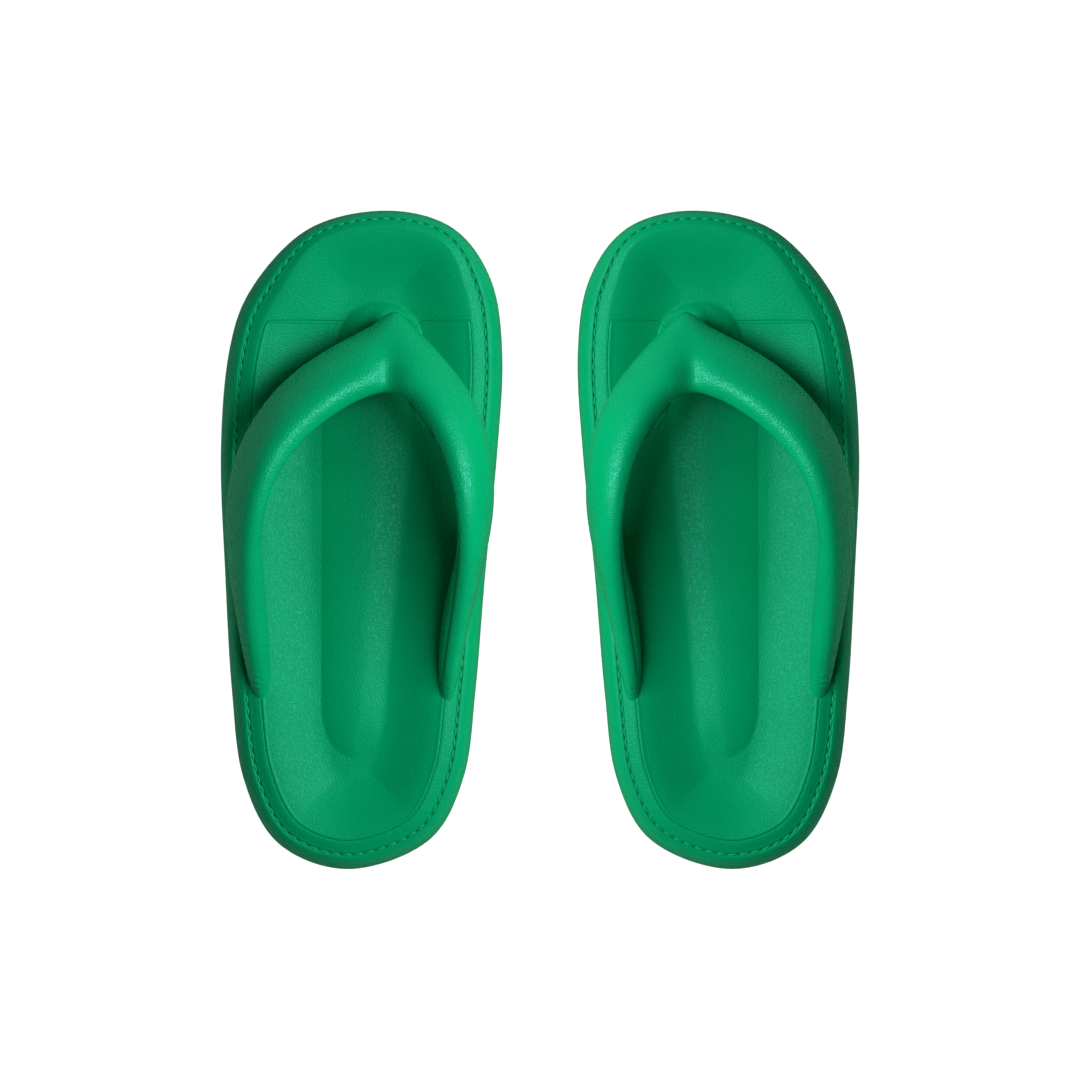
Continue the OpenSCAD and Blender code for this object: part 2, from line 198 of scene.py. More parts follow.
def hollow(reach, y):
    """How deep the dish lies under the crest, that far in from it."""
    depth = sole().dish_depth / MM * (1 + 0.12 * ease((-y - 40) / 60))
    return depth * ease(reach / 27)


def ridge(x, y):
    """The long low ridge down the middle: creased along each side and round at the heel."""
    left, right = -16, 21 - 10 * ease((45 - y) / 125)
    across = (x - (left + right) / 2) / ((right - left) / 2)
    along = np.maximum(0, np.maximum((-68 - y) / 21, (y - 62) / 24))
    fullness = 0.9 + 0.75 * ease((across + 0.1) / 0.5)
    return sole().ridge_height / MM * np.maximum(0, 1 - across**2 - along**2) ** fullness


def mound(x, y):
    """The low mound that the toe post stands in, steepest at its foot."""
    away = np.hypot(x - MOUND[0], y - MOUND[1]) / MOUND_RADIUS
    out_x, out_y = x - POST[0], y - POST[1]
    round_post = np.hypot(out_x, out_y)
    inner_side = ease((out_x / np.maximum(round_post, 0.1) + 0.2) / 0.9)
    lip = hump((round_post - 8.8) / 1.7) * (0.25 + 0.75 * inner_side)
    dome = np.maximum(0, 1 - away**2) ** 0.75
    return sole().mound_height / MM * dome + 1.6 * lip * ease(dome * 3)


def crest_reach(p):
    """Distance from each point to the crest that runs round the bed."""
    crest = inset_point(around(RIM_POINTS), np.full(RIM_POINTS, CREST_INSET))
    step = np.roll(crest, -1, 0) - crest
    nearest = np.full(len(p), np.inf)
    for start, run, length in zip(crest, step, (step**2).sum(1)):
        t = np.clip((p - start) @ run / length, 0, 1)
        away = p - start - t[:, None] * run
        nearest = np.minimum(nearest, (away * away).sum(1))
    return np.sqrt(nearest)


def bed_height(p):
    return rim_height(p[:, 1]) + CREST_HEIGHT - hollow(crest_reach(p), p[:, 1])


def raised(p):
    """How far the ridge and the mound stand over the bed."""
    x, y = p[:, 0], p[:, 1]
    return np.maximum(ridge(x, y), mound(x, y))


def with_z(p, z):
    return np.concatenate([p, np.asarray(z)[..., None]], -1)


# ---- meshes ----


def place(points, side):
    """From one shoe's own millimetres to its place in the pair, in metres."""
    out = np.array(points, float)
    out[..., 0] = out[..., 0] - SHOE_OFFSET if side == "left" else SHOE_OFFSET - out[..., 0]
    return out * MM


def ring_faces(count, rings, side):
    """Faces between stacked rings, with both ends closed by a strip of quads."""
    i = np.arange(count)
    j = np.arange(rings - 1)[:, None] * count
    a, b = j + i, j + (i + 1) % count
    quads = np.stack([a, a + count, b + count, b], -1).reshape(-1, 4)
    faces = quads.tolist()
    for base, order in ((0, 1), ((rings - 1) * count, -1)):
        for k in range(count // 2):
            cap = [base + k, base + k + 1, base + (count - k - 1) % count, base + (count - k) % count]
            cap = [v for n, v in enumerate(cap) if v not in cap[:n]]
            faces.append(cap[::order])
    if side == "right":
        faces = [f[::-1] for f in faces]
    return faces


def new_object(name, points, faces, side):
    mesh = bpy.data.meshes.new(name)
    mesh.from_pydata(points.reshape(-1, 3).tolist(), [], faces)
    mesh.update()
    mesh.shade_smooth()
    obj = bpy.data.objects.new(name, mesh)
    shoe_collection(side).objects.link(obj)
    return obj


def shoe_collection(side):
    name = f"{side} shoe"
    found = bpy.data.collections.get(name)
    if found is None:
        found = bpy.data.collections.new(name)
        bpy.context.scene.collection.children.link(found)
    return found


def ring_object(name, rings, side):
    """Skins a stack of rings that runs from under the middle, round the edge, to the middle of the top."""
    rings = np.array(rings)
    faces = ring_faces(rings.shape[1], rings.shape[0], side)
    return new_object(name, place(rings, side), faces, side)


def mark_sewing(obj, insets, count):
    """Stores on every corner how far round the rim it lies, in stitches, and how far in from the edge."""
    u, run = sewing_run()
    corners = np.empty(len(obj.data.loops), np.int32)
    obj.data.loops.foreach_get("vertex_index", corners)
    ring, place_in_ring = np.divmod(corners, count)
    sewn = np.interp(around(count), u, run)[place_in_ring]
    sides = (len(insets) - 1) * count * 4
    quads = place_in_ring[:sides].reshape(-1, 4)
    closing = (quads == count - 1).any(1)[:, None] & (quads == 0)
    sewn[:sides] = np.where(closing.ravel(), run[-1], sewn[:sides])
    layer = obj.data.uv_layers.new(name="sewing")
    sewing = np.stack([sewn, np.asarray(insets)[ring]], -1)
    layer.data.foreach_set("uv", sewing.astype(np.float32).ravel())


def finish_piece(obj, side, nodes, material):
    obj.data.materials.clear()
    obj.data.materials.append(material)
    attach(obj, BODIES[side])
    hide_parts(*[f"{side}_{n}" for n in nodes])


# ---- materials ----


class Nodes:
    """A short way to lay out one material's node tree."""

    def __init__(self, name):
        old = bpy.data.materials.get(name)
        if old:
            bpy.data.materials.remove(old)
        self.material = bpy.data.materials.new(name)
        self.material.use_nodes = True
        self.tree = self.material.node_tree
        self.tree.nodes.clear()
        self.output = self.add("ShaderNodeOutputMaterial")
        self.shader = self.add("ShaderNodeBsdfPrincipled")
        self.link(self.shader.outputs[0], self.output.inputs[0])

    def add(self, kind, **settings):
        node = self.tree.nodes.new(kind)
        for key, value in settings.items():
            setattr(node, key, value)
        return node

    def link(self, a, b):
        self.tree.links.new(a, b)

    def math(self, operation, a, b=0.0, c=0.0):
        node = self.add("ShaderNodeMath", operation=operation)
        for socket, value in zip(node.inputs, (a, b, c)):
            if isinstance(value, bpy.types.NodeSocket):
                self.link(value, socket)
            else:
                socket.default_value = value
        return node.outputs[0]

    def mirrored_place(self):
        """Object coordinates with the pair's mirror plane folded, so both shoes share one pattern."""
        place_in = self.add("ShaderNodeTexCoord").outputs["Object"]
        split = self.add("ShaderNodeSeparateXYZ")
        self.link(place_in, split.inputs[0])
        join = self.add("ShaderNodeCombineXYZ")
        self.link(self.math("ABSOLUTE", split.outputs[0]), join.inputs[0])
        self.link(split.outputs[1], join.inputs[1])
        self.link(split.outputs[2], join.inputs[2])
        return join.outputs[0]

    def noise(self, place_in, scale, detail=2.0, rough=0.5):
        node = self.add("ShaderNodeTexNoise")
        self.link(place_in, node.inputs["Vector"])
        node.inputs["Scale"].default_value = scale
        node.inputs["Detail"].default_value = detail
        node.inputs["Roughness"].default_value = rough
        return node.outputs[0]

    def cells(self, place_in, scale):
        node = self.add("ShaderNodeTexVoronoi", feature="F1")
        self.link(place_in, node.inputs["Vector"])
        node.inputs["Scale"].default_value = scale
        node.inputs["Randomness"].default_value = 1.0
        return node.outputs["Distance"]

    def band(self, value, low, high, out_low=0.0, out_high=1.0):
        node = self.add("ShaderNodeMapRange", interpolation_type="SMOOTHSTEP")
        self.link(value, node.inputs["Value"])
        limits = {"From Min": low, "From Max": high, "To Min": out_low, "To Max": out_high}
        for key, number in limits.items():
            node.inputs[key].default_value = number
        return node.outputs[0]

    def blend(self, share, a, b):
        node = self.add("ShaderNodeMix", data_type="RGBA", blend_type="MIX")
        for socket, value in ((node.inputs[0], share), (node.inputs[6], a), (node.inputs[7], b)):
            if isinstance(value, bpy.types.NodeSocket):
                self.link(value, socket)
            else:
                socket.default_value = value
        return node.outputs[2]

    def bump(self, height, strength, distance, normal=None):
        node = self.add("ShaderNodeBump")
        node.inputs["Strength"].default_value = strength
        node.inputs["Distance"].default_value = distance
        self.link(height, node.inputs["Height"])
        if normal is not None:
            self.link(normal, node.inputs["Normal"])
        return node.outputs[0]

    def needle_holes(self, pitch, inset):
        """One where a needle went through, between each two stitches, and nought elsewhere."""
        split = self.add("ShaderNodeSeparateXYZ")
        self.link(self.add("ShaderNodeUVMap", uv_map="sewing").outputs[0], split.inputs[0])
        half_long, half_wide = 0.62, 0.42
        along = self.math("SUBTRACT", self.math("FRACT", split.outputs[0]), 0.5)
        along = self.math("MULTIPLY", along, pitch / half_long)
        across = self.math("MULTIPLY", self.math("SUBTRACT", split.outputs[1], inset), 1 / half_wide)
        squares = self.math("ADD", self.math("MULTIPLY", along, along),
                            self.math("MULTIPLY", across, across))
        return self.band(self.math("SQRT", squares), 0.55, 1.25, 1.0, 0.0)


def tinted(colour, factor):
    return tuple(min(1.0, max(0.0, c * factor)) for c in colour[:3]) + (1.0,)


def foam_material(name, tint=1.0, roughness=0.32, grain=0.9, gloss=0.22, sewn=False):
    """Closed-cell foam with a fine leather grain, painted shade in small pits (and in needle holes when
    sewn), and a little uneven colour.
    """
    look = bpy.context.scene.flip_flop_finish
    colour = look.foam_colour
    n = Nodes(name)
    spot = n.mirrored_place()
    size = look.grain_size
    # Colour: wide soft patches, a fine mottle, and a scatter of small pits painted dark, which is painted
    # shade in the pits.
    patch = n.noise(spot, 28, 3.0, 0.6)
    base = n.blend(n.band(patch, 0.3, 0.7), tinted(colour, tint * 0.95), tinted(colour, tint * 1.05))
    fine = n.noise(spot, 1 / (size * 1.4), 2.0, 0.55)
    base = n.blend(n.band(fine, 0.35, 0.65, 0.0, 0.35), base, tinted(colour, tint * 0.86))
    # Painted shade: each small pit is darkened as if shade lay inside it.
    pits = n.cells(spot, 150)
    pit_shade = n.band(pits, 0.035, 0.06, 1.0, 0.0)
    base = n.blend(n.math("MULTIPLY", pit_shade, 0.55), base, tinted(colour, tint * 0.35))
    if sewn:
        hole_shade_and_dent = n.needle_holes(context_stitch().pitch / MM, context_stitch().inset / MM)
        # Painted shade in the needle holes: the foam is darkened where the needle went through between
        # stitches.
        base = n.blend(n.math("MULTIPLY", hole_shade_and_dent, 0.35), base, tinted(colour, tint * 0.4))
    n.link(base, n.shader.inputs["Base Color"])
    # Grain: rounded pebbles with a finer tooth on them, over a slow waviness.
    pebble = n.band(n.cells(spot, 1 / size), 0.05, 0.75, 1.0, 0.0)
    soft = n.noise(spot, 1 / (size * 0.45), 1.0, 0.5)
    wave = n.noise(spot, 160, 2.0, 0.5)
    height = n.math("MULTIPLY_ADD", wave, 0.6, n.math("MULTIPLY_ADD", soft, 0.35, pebble))
    normal = n.bump(height, 0.6, size * 0.18 * grain)
    if sewn:
        # The same hole mask also dents the surface a little through the bump.
        normal = n.bump(n.math("SUBTRACT", 1.0, hole_shade_and_dent), 1.0, 0.0002, normal)
    n.link(normal, n.shader.inputs["Normal"])
    n.link(n.band(fine, 0.3, 0.7, roughness - 0.06, roughness + 0.07), n.shader.inputs["Roughness"])
    n.shader.inputs["Specular IOR Level"].default_value = gloss
    n.shader.inputs["Specular Tint"].default_value = (0.2, 0.85, 0.9, 1.0)
    n.shader.inputs["IOR"].default_value = 1.42
    return n.material


def rubber_material(name):
    """Matt rubber with a fine stipple."""
    colour = bpy.context.scene.flip_flop_finish.rubber_colour
    n = Nodes(name)
    spot = n.mirrored_place()
    patch = n.noise(spot, 40, 3.0, 0.6)
    base = n.blend(n.band(patch, 0.3, 0.7), tinted(colour, 0.9), tinted(colour, 1.08))
    n.link(base, n.shader.inputs["Base Color"])
    stipple = n.cells(spot, 900)
    n.link(n.bump(n.band(stipple, 0.1, 0.6), 0.4, 0.00012), n.shader.inputs["Normal"])
    n.link(n.band(patch, 0.3, 0.7, 0.58, 0.7), n.shader.inputs["Roughness"])
    n.shader.inputs["Specular IOR Level"].default_value = 0.4
    return n.material


def thread_material(name):
    """Spun thread with fine fibres."""
    colour = bpy.context.scene.flip_flop_finish.thread_colour
    n = Nodes(name)
    spot = n.mirrored_place()
    fibre = n.noise(spot, 9000, 2.0, 0.6)
    base = n.blend(n.band(fibre, 0.3, 0.7), tinted(colour, 0.85), tinted(colour, 1.15))
    n.link(base, n.shader.inputs["Base Color"])
    n.link(n.bump(fibre, 0.5, 0.00005), n.shader.inputs["Normal"])
    n.shader.inputs["Roughness"].default_value = 0.55
    n.shader.inputs["Specular IOR Level"].default_value = 0.25
    return n.material


def plastic_material(name, colour, roughness):
    """Plain moulded plastic, hardly textured."""
    n = Nodes(name)
    spot = n.mirrored_place()
    patch = n.noise(spot, 120, 2.0, 0.5)
    base = n.blend(n.band(patch, 0.3, 0.7), tinted(colour, 0.95), tinted(colour, 1.04))
    n.link(base, n.shader.inputs["Base Color"])
    n.link(n.bump(n.noise(spot, 1500, 1.0), 0.2, 0.00005), n.shader.inputs["Normal"])
    n.link(n.band(patch, 0.3, 0.7, roughness - 0.05, roughness + 0.05), n.shader.inputs["Roughness"])
    return n.material


# ---- sizes and colours ----


class SoleSizes(bpy.types.PropertyGroup):
    """Sizes of the layers under the foot"""
    heel_height: bpy.props.FloatProperty(
        name="Heel height", description="Height of the rim at the heel", default=0.042, unit="LENGTH")
    ball_height: bpy.props.FloatProperty(
        name="Ball height", description="Height of the rim at the ball of the foot", default=0.034,
        unit="LENGTH")
    toe_lift: bpy.props.FloatProperty(
        name="Toe lift", description="How far the toe curves up off the ground", default=0.005,
        unit="LENGTH")
    outsole_thickness: bpy.props.FloatProperty(
        name="Outsole thickness", description="Thickness of the rubber outsole", default=0.006,
        unit="LENGTH")
    footbed_thickness: bpy.props.FloatProperty(
        name="Footbed thickness", description="Thickness of the footbed layer at its rim", default=0.013,
        unit="LENGTH")
    inlay_thickness: bpy.props.FloatProperty(
        name="Inlay thickness", description="Thickness of the soft inlay", default=0.003, unit="LENGTH")
    dish_depth: bpy.props.FloatProperty(
        name="Dish depth", description="Depth of the hollow that the foot lies in", default=0.006,
        unit="LENGTH")
    ridge_height: bpy.props.FloatProperty(
        name="Ridge height", description="Height of the long ridge down the inlay", default=0.0022,
        unit="LENGTH")
    mound_height: bpy.props.FloatProperty(
        name="Mound height", description="Height of the mound that the toe post stands in", default=0.0044,
        unit="LENGTH")


class StrapSizes(bpy.types.PropertyGroup):
    """Sizes of the strap and its post"""
    pad_scale: bpy.props.FloatProperty(
        name="Padding", description="Scale on the thickness of the padding", default=1.0,
        min=0.8, max=1.1)
    post_radius: bpy.props.FloatProperty(
        name="Post radius", description="Radius of the post between the toes", default=0.0045,
        unit="LENGTH")


class StitchSizes(bpy.types.PropertyGroup):
    """Sizes of the stitching round the rim"""
    inset: bpy.props.FloatProperty(
        name="Inset", description="Distance from the silhouette to the stitch line", default=0.0065,
        unit="LENGTH")
    pitch: bpy.props.FloatProperty(
        name="Pitch", description="Distance from one stitch to the next", default=0.0047, unit="LENGTH")
    length: bpy.props.FloatProperty(
        name="Stitch length", description="Length of thread that shows", default=0.0034, unit="LENGTH")
    radius: bpy.props.FloatProperty(
        name="Thread radius", description="Half the thread's thickness", default=0.0005, unit="LENGTH")
    seed: bpy.props.IntProperty(
        name="Seed", description="Seed for the small differences between stitches", default=7)


class FinishColours(bpy.types.PropertyGroup):
    """Colours and grain"""
    foam_colour: bpy.props.FloatVectorProperty(
        name="Foam colour", description="Colour of the sole, footbed and strap", subtype="COLOR", size=3,
        min=0, max=1, default=(0.0, 0.34, 0.13))
    rubber_colour: bpy.props.FloatVectorProperty(
        name="Rubber colour", description="Colour of the outsole", subtype="COLOR", size=3,
        min=0, max=1, default=(0.0, 0.27, 0.11))
    thread_colour: bpy.props.FloatVectorProperty(
        name="Thread colour", description="Colour of the stitching", subtype="COLOR", size=3,
        min=0, max=1, default=(0.0, 0.36, 0.15))
    grain_size: bpy.props.FloatProperty(
        name="Grain size", description="Width of one pebble of the leather grain", default=0.0007,
        unit="LENGTH")


class StageSettings(bpy.types.PropertyGroup):
    """Camera, lights and floor"""
    camera_height: bpy.props.FloatProperty(
        name="Camera height", description="Height of the camera over the floor", default=3.0, unit="LENGTH")
    view_width: bpy.props.FloatProperty(
        name="View width", description="Width that the picture takes in at the sole", default=0.4438,
        unit="LENGTH")
    key_power: bpy.props.FloatProperty(
        name="Key light", description="Power of each shoe's key light", default=10.9, unit="POWER")
    floor_power: bpy.props.FloatProperty(
        name="Floor light", description="Power of each of the two lights on the floor", default=34.0,
        unit="POWER")
    sky: bpy.props.FloatProperty(
        name="Fill", description="Strength of the even light all round", default=0.07)
    floor_colour: bpy.props.FloatVectorProperty(
        name="Floor colour", description="Colour of the plain floor", subtype="COLOR", size=3,
        min=0, max=1, default=(0.8, 0.8, 0.8))


# ---- pieces ----


def rim_profile(pairs, steps):
    """A smooth run through (inset, height over the rim line) pairs."""
    pts = np.array(pairs, float)
    return open_point(pts, np.linspace(0, len(pts) - 1, steps))


# Inset from the silhouette and height over the rim line, up the side and over the rolled rim.
FOOTBED_WALL = [
    (1.4, -13), (0.5, -12.95), (0.22, -12.6), (0.16, -11.4), (0.3, -9.4), (0.75, -7.2), (1.35, -5.4),
    (2.1, -3.8), (3.0, -2.5), (4.0, -1.55), (5.0, -0.95),
]
FOOTBED_GROOVE = [
    (5.0, -0.95), (5.4, -0.82), (5.75, -0.82), (6.0, -1.0), (6.25, -1.16), (6.5, -1.22), (6.75, -1.14),
    (7.0, -0.96), (7.25, -0.74), (7.7, -0.58), (8.4, -0.36), (9.4, 0.04), (10.4, 0.38),
    (CREST_INSET, CREST_HEIGHT),
]


class FLIPFLOP_OT_footbed(bpy.types.Operator):
    """Build the footbed layer of each shoe: rolled rim, stitch groove, dish and toe mound"""
    bl_idname = "flip_flop.footbed"
    bl_label = "Footbed"

    def execute(self, context):
        material = foam_material("footbed foam", sewn=True)
        thick = sole().footbed_thickness / MM
        drop = sole().inlay_thickness / MM
        u = around(RIM_POINTS)
        rings, insets = [], []
        floor_edge = inset_point(u, np.full(RIM_POINTS, FOOTBED_WALL[0][0]))
        for share in (CAP_SHARE, 0.5, 0.97):
            p = toward_spine(floor_edge, share)
            rings.append(with_z(p, rim_height(p[:, 1]) - thick))
        insets += [-NOT_SEWN] * len(rings)
        for profile, steps in ((FOOTBED_WALL, 24), (FOOTBED_GROOVE, 34)):
            for inset, height in rim_profile(profile, steps)[1 if insets[-1] > 0 else 0:]:
                p = inset_point(u, np.full(RIM_POINTS, inset))
                rings.append(with_z(p, rim_height(p[:, 1]) + height))
                insets.append(inset)
        crest = inset_point(u, np.full(RIM_POINTS, CREST_INSET))
        edge = inlay_edge(u)
        inward = (edge - crest) / np.linalg.norm(edge - crest, axis=1)[:, None]
        lip = edge - inward * SEAM_ROUND
        for share in np.linspace(0, 1, 56)[1:]:
            p = crest + (lip - crest) * share
            rings.append(with_z(p, bed_height(p) + raised(p)))
        for turn in (0.35, 0.7, 1.0):
            angle = turn * math.pi / 2
            p = lip + inward * SEAM_ROUND * math.sin(angle)
            rings.append(with_z(p, bed_height(p) + raised(p) - SEAM_ROUND * (1 - math.cos(angle))))
        for share in (1.0, 0.6, 0.3, CAP_SHARE):
            p = toward_spine(edge, share)
            rings.append(with_z(p, bed_height(p) - drop))
        insets += [CREST_INSET + NOT_SEWN] * (len(rings) - len(insets))
        for side in SIDES:
            obj = ring_object(f"{side}_footbed_foam", rings, side)
            mark_sewing(obj, insets, RIM_POINTS)
            finish_piece(obj, side, ["footbed"], material)
        return {"FINISHED"}


class FLIPFLOP_OT_inlay(bpy.types.Operator):
    """Build the soft inlay of each footbed, with its long ridge"""
    bl_idname = "flip_flop.inlay"
    bl_label = "Inlay"

    def execute(self, context):
        material = foam_material("inlay foam")
        drop = sole().inlay_thickness / MM
        edge = inlay_edge(around(RIM_POINTS))
        middle = spine_point(edge)
        span = np.linalg.norm(edge - middle, axis=1)
        rings = []

        def at(share, inset, down, top):
            p = middle + (edge - middle) * ((span - inset) / span * share)[:, None]
            rings.append(with_z(p, bed_height(p) - down + (raised(p) if top else 0)))

        for share in (CAP_SHARE, 0.35, 0.7, 1.0):
            at(share, 0.3, drop - 0.1, False)
        at(1, SEAM_GAP, drop - 0.4, False)
        for turn in (0.0, 0.35, 0.7, 1.0):
            angle = turn * math.pi / 2
            inset = SEAM_GAP + SEAM_ROUND * (1 - math.cos(angle))
            at(1, inset, SEAM_ROUND * (1 - math.sin(angle)), True)
        # A low bead runs just inside the parting line.
        bead_height, bead_half = 0.2, 0.6
        for inward in np.linspace(0.12, 1.08, 7):
            rise = bead_height * hump((inward - bead_half) / bead_half)
            at(1, SEAM_GAP + SEAM_ROUND + inward, -rise, True)
        for share in np.linspace(0.955, 0.03, 106):
            at(share, SEAM_GAP + SEAM_ROUND, 0.0, True)
        for side in SIDES:
            obj = ring_object(f"{side}_inlay_foam", rings, side)
            finish_piece(obj, side, ["inlay"], material)
        return {"FINISHED"}


# Share of the wall's height and inset from the silhouette.
MIDSOLE_WALL = [
    (0.0, 3.6), (0.02, 3.15), (0.06, 2.5), (0.15, 1.6), (0.3, 0.72), (0.45, 0.25), (0.6, 0.03),
    (0.8, 0.0), (0.93, 0.12), (0.985, 0.3), (1.0, 0.8),
]


class FLIPFLOP_OT_midsole(bpy.types.Operator):
    """Build the thick midsole of each shoe, with its swelling side wall"""
    bl_idname = "flip_flop.midsole"
    bl_label = "Midsole"

    def execute(self, context):
        material = foam_material("midsole foam", tint=0.99)
        thick = sole().footbed_thickness / MM
        under = sole().outsole_thickness / MM
        u = around(RIM_POINTS)
        rings = []

        def wall(share, inset):
            p = inset_point(u, np.full(RIM_POINTS, inset))
            low = bottom_height(p[:, 1]) + under + GLUE_LINE
            high = rim_height(p[:, 1]) - thick - GLUE_LINE
            return with_z(p, low + (high - low) * share)

        low_ring, high_ring = wall(0, MIDSOLE_WALL[0][1]), wall(1, MIDSOLE_WALL[-1][1])
        for share in (CAP_SHARE, 0.5, 0.9):
            rings.append(with_z(toward_spine(low_ring[:, :2], share), low_ring[:, 2]))
        for share, inset in rim_profile(MIDSOLE_WALL, 46):
            rings.append(wall(share, inset))
        for share in (0.9, 0.5, CAP_SHARE):
            rings.append(with_z(toward_spine(high_ring[:, :2], share), high_ring[:, 2]))
        for side in SIDES:
            obj = ring_object(f"{side}_midsole_foam", rings, side)
            finish_piece(obj, side, ["midsole"], material)
        return {"FINISHED"}


def strap_frame(s):
    """Middle, half span and outward direction of the strap's section at each station."""
    def edges(q):
        g = open_point(STATIONS, q)
        upper, lower = g[:, 0:3].copy(), g[:, 3:6].copy()
        upper[:, 2] += rim_height(upper[:, 1])
        lower[:, 2] += rim_height(lower[:, 1])
        return g, upper, lower

    g, upper, lower = edges(s)
    turn = 0.05 + 0.75 * hump((s - YOKE_STATION) / 1.6)
    last = len(STATIONS) - 1
    _, u1, l1 = edges(np.minimum(s + turn, last + 0.05))
    _, u0, l0 = edges(np.maximum(s - turn, -0.05))
    travel = (u1 + l1 - u0 - l0) / 2
    half = (upper - lower) / 2
    out = np.cross(half, travel)
    out /= np.linalg.norm(out, axis=1, keepdims=True)
    return g, (upper + lower) / 2, half, out


class FLIPFLOP_OT_strap(bpy.types.Operator):
    """Build the one-piece padded strap of each shoe"""
    bl_idname = "flip_flop.strap"
    bl_label = "Strap"

    def execute(self, context):
        material = foam_material("strap foam", tint=1.14, roughness=0.28, grain=1.2, gloss=0.55)
        rings, at = strap_rings(400, 120)
        fin = self.fin(rings, at)
        for side in SIDES:
            obj = ring_object(f"{side}_padded_strap", rings, side)
            self.join(obj, ring_object(f"{side}_fin", fin, side))
            finish_piece(obj, side, ["strap"], material)
        return {"FINISHED"}

    def fin(self, rings, at):
        """The thin mould line that stands off the inside of the inner arm, next to the yoke."""
        steps, count = 70, 10
        first, last = YOKE_STATION + 1.1, YOKE_STATION + 3.1
        way = np.array((-0.62, -0.78))
        edge = []
        for k in np.interp(np.linspace(first, last, steps), at, np.arange(len(at))):
            ring = rings[int(round(k))]
            edge.append(ring[np.argmax((ring[:, :2] - ring[:, :2].mean(0)) @ way)])
        edge = np.array(edge)
        for axis in range(3):
            edge[:, axis] = np.convolve(np.pad(edge[:, axis], 4, mode="edge"), np.ones(9) / 9, "valid")
        t = np.linspace(0, 1, steps)
        swell = np.sin(math.pi * t) ** 0.6
        stand = 2.4 * swell - 1.0
        path = edge + with_z(way * stand[:, None], np.full(steps, -2.6))
        travel = np.gradient(path, axis=0)
        travel /= np.linalg.norm(travel, axis=1, keepdims=True)
        aside = np.cross(travel, (0, 0, 1.0))
        aside /= np.linalg.norm(aside, axis=1, keepdims=True)
        up = np.cross(aside, travel)
        a = -np.arange(count) * 2 * math.pi / count
        size = (0.12 + 0.2 * swell)[:, None, None]
        wide = aside[:, None] * np.cos(a)[None, :, None] * 1.5
        return path[:, None] + size * (wide + up[:, None] * np.sin(a)[None, :, None])

    def join(self, keep, extra):
        """Merges a second mesh into the first, so that both stay one piece."""
        both = [keep, extra]
        with bpy.context.temp_override(active_object=keep, object=keep, selected_objects=both,
                                       selected_editable_objects=both):
            bpy.ops.object.join()


def strap_rings(steps, count):
    """Rings along the strap and their stations, closer together at the creased ends."""
    top, end = len(STATIONS) - 1, 1.3
    s = np.concatenate([np.linspace(0, end, 80), np.linspace(end, top - end, steps)[1:],
                        np.linspace(top - end, top, 60)[1:]])
    g, middle, half, out = strap_frame(s)
    angle = np.arange(count) * 2 * math.pi / count
    # A superellipse fuller than an oval, drawn to one side on the outer face.
    power = 2 / 2.3
    c = np.sign(np.cos(angle)) * np.abs(np.cos(angle)) ** power
    w = np.sign(np.sin(angle)) * np.abs(np.sin(angle)) ** power
    outer = w > 0
    lean = np.where(outer, 0.15 * (1 - c * c), 0)
    across = c + lean
    pad = np.where(outer[None], g[:, 6:7], g[:, 7:8]) * bpy.context.scene.flip_flop_strap.pad_scale
    lift = pad * w[None]
    # A soft fold where the two arms meet at the yoke.
    step = s[:, None] - YOKE_STATION + 0.1
    fold = np.where(step < 0, hump(step / 0.26), hump(step / 0.8)) * ease((across[None] - 0.28) / 0.5)
    lift = lift - 1.3 * fold * np.where(outer, w, 0)[None]
    # Short creases on the crest where each arm goes down into the rim.
    reach = np.zeros_like(lift)
    crest = hump((angle[None] - math.radians(22)) / math.radians(36))
    for station, depth in ((0.93, 0.5), (0.76, 0.65), (0.62, 0.5), (19.35, 0.45), (19.5, 0.3)):
        reach = reach + depth * hump((s[:, None] - station) / 0.03) * crest
    # A long shallow fold down the inside of each arm, where the padding is pinched towards its end.
    low = ease((s[:, None] - 0.5) / 0.5) * ease((4.2 - s[:, None]) / 1.2)
    low = low + ease((19.4 - s[:, None]) / 0.4) * ease((s[:, None] - 15.6) / 1.2)
    pinch = low * hump((angle[None] - math.radians(332)) / math.radians(7))
    lift = lift + 0.75 * pinch
    reach = reach - 0.45 * pinch
    along = half / np.linalg.norm(half, axis=1, keepdims=True)
    points = middle[:, None] + half[:, None] * across[None, :, None]
    points = points + out[:, None] * lift[..., None]
    return points + along[:, None] * reach[..., None], s


class FLIPFLOP_OT_toe_post(bpy.types.Operator):
    """Build the post between the toes, flared where it meets the strap and the footbed"""
    bl_idname = "flip_flop.toe_post"
    bl_label = "Toe post"

    def execute(self, context):
        material = foam_material("post foam", roughness=0.4, grain=0.5)
        r = context.scene.flip_flop_strap.post_radius / MM
        base = sole().outsole_thickness / MM + 0.4
        foot = POST[None]
        bed = float((bed_height(foot) + raised(foot))[0])
        top = float(rim_height(POST[1:2])[0]) + 14
        profile = [
            (0.3, base), (9.0, base), (9.9, base + 0.4), (10.0, base + 1.5), (9.9, base + 2.6),
            (9.0, base + 3.0), (r + 0.6, base + 3.1), (r, base + 4.0), (r, bed - 5), (r + 0.1, bed - 1.5),
            (r + 1.3, bed - 0.4), (r + 1.1, bed + 0.5), (r + 0.3, bed + 2.2), (r - 0.1, bed + 5),
            (r, top - 6.5), (r + 0.5, top - 4), (r + 0.8, top - 2.5), (r, top - 0.8), (r - 1, top - 0.1),
            (0.3, top),
        ]
        run = open_point(np.array(profile, float), np.linspace(0, len(profile) - 1, 110))
        count = 96
        angle = -np.arange(count) * 2 * math.pi / count
        circle = np.stack([np.cos(angle), np.sin(angle)], -1)
        rings = [with_z(POST + circle * max(0.2, q[0]), np.full(count, q[1])) for q in run]
        for side in SIDES:
            obj = ring_object(f"{side}_thong_post", rings, side)
            finish_piece(obj, side, ["toe_post"], material)
        return {"FINISHED"}


# ---- stitching, by geometry nodes ----


